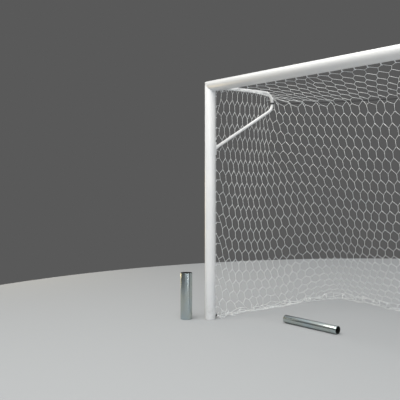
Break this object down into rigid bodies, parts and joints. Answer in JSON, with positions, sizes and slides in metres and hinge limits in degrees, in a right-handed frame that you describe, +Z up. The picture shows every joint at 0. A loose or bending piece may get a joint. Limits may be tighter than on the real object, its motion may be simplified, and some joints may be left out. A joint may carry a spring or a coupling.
{
  "type": "full-size football goal",
  "caption": "Full-size football goal: round white frame tubes with mitred corners, rear net bows, a box net on a tension rope, and loose ground sleeves.",
  "frame": {"origin": "on the ground, at the middle of the whole set's box; the goal line runs along X at y = -0.94, midway between the posts at x = 0", "axes": "+X along the goal line, +Y back into the net, +Z up"},
  "size_m": [7.879, 2.4155, 2.554],
  "materials": {
    "frame_white": "white powder coat with a soft gloss, on aluminium tube",
    "cast_aluminium": "as cast, dull",
    "galvanised": "zinc plated steel with a faint yellow and blue cast",
    "white_plastic": "moulded white plastic",
    "black_plastic": "moulded black plastic and tape",
    "black_rope": "braided black polypropylene rope",
    "net_white": "white knotless polypropylene netting, hexagonal mesh"
  },
  "bodies": {
    "goal": {"crossbar": "frame_white", "crossbar_net_rail": "white_plastic", "left_bar_screw": "galvanised", "left_bow_tie": "black_plastic", "left_corner_connector": "cast_aluminium", "left_foot_hook": "black_plastic", "left_lower_bolt_bottom": "galvanised", "left_lower_bolt_top": "galvanised", "left_lower_bracket": "frame_white", "left_lower_rail": "white_plastic", "left_net_bow": "frame_white", "left_post": "frame_white", "left_post_plug": "black_plastic", "left_post_screw": "galvanised", "left_top_bolt_bar": "galvanised", "left_top_bolt_post": "galvanised", "left_top_bracket": "frame_white", "left_upper_rail": "white_plastic", "net_back": "net_white", "net_back_skirt": "net_white", "net_left_side": "net_white", "net_left_skirt": "net_white", "net_right_side": "net_white", "net_right_skirt": "net_white", "net_roof": "net_white", "net_rope": "black_rope", "right_bar_screw": "galvanised", "right_bow_tie": "black_plastic", "right_corner_connector": "cast_aluminium", "right_foot_hook": "black_plastic", "right_lower_bolt_bottom": "galvanised", "right_lower_bolt_top": "galvanised", "right_lower_bracket": "frame_white", "right_lower_rail": "white_plastic", "right_net_bow": "frame_white", "right_post": "frame_white", "right_post_plug": "black_plastic", "right_post_screw": "galvanised", "right_top_bolt_bar": "galvanised", "right_top_bolt_post": "galvanised", "right_top_bracket": "frame_white", "right_upper_rail": "white_plastic"},
    "left_ground_sleeve": {"left_ground_sleeve": "galvanised"},
    "left_spare_tube": {"left_spare_tube": "galvanised"},
    "right_ground_sleeve": {"right_ground_sleeve": "galvanised"},
    "right_spare_tube": {"right_spare_tube": "galvanised"}
  },
  "joints": [
    {"name": "left_ground_sleeve_lift", "type": "slide", "parent": "goal", "child": "left_ground_sleeve", "axis": [0, 0, 1], "range_m": [0, 0.6]},
    {"name": "left_spare_tube_lift", "type": "slide", "parent": "goal", "child": "left_spare_tube", "axis": [0, 0, 1], "range_m": [0, 0.6]},
    {"name": "right_ground_sleeve_lift", "type": "slide", "parent": "goal", "child": "right_ground_sleeve", "axis": [0, 0, 1], "range_m": [0, 0.6]},
    {"name": "right_spare_tube_lift", "type": "slide", "parent": "goal", "child": "right_spare_tube", "axis": [0, 0, 1], "range_m": [0, 0.6]}
  ]
}
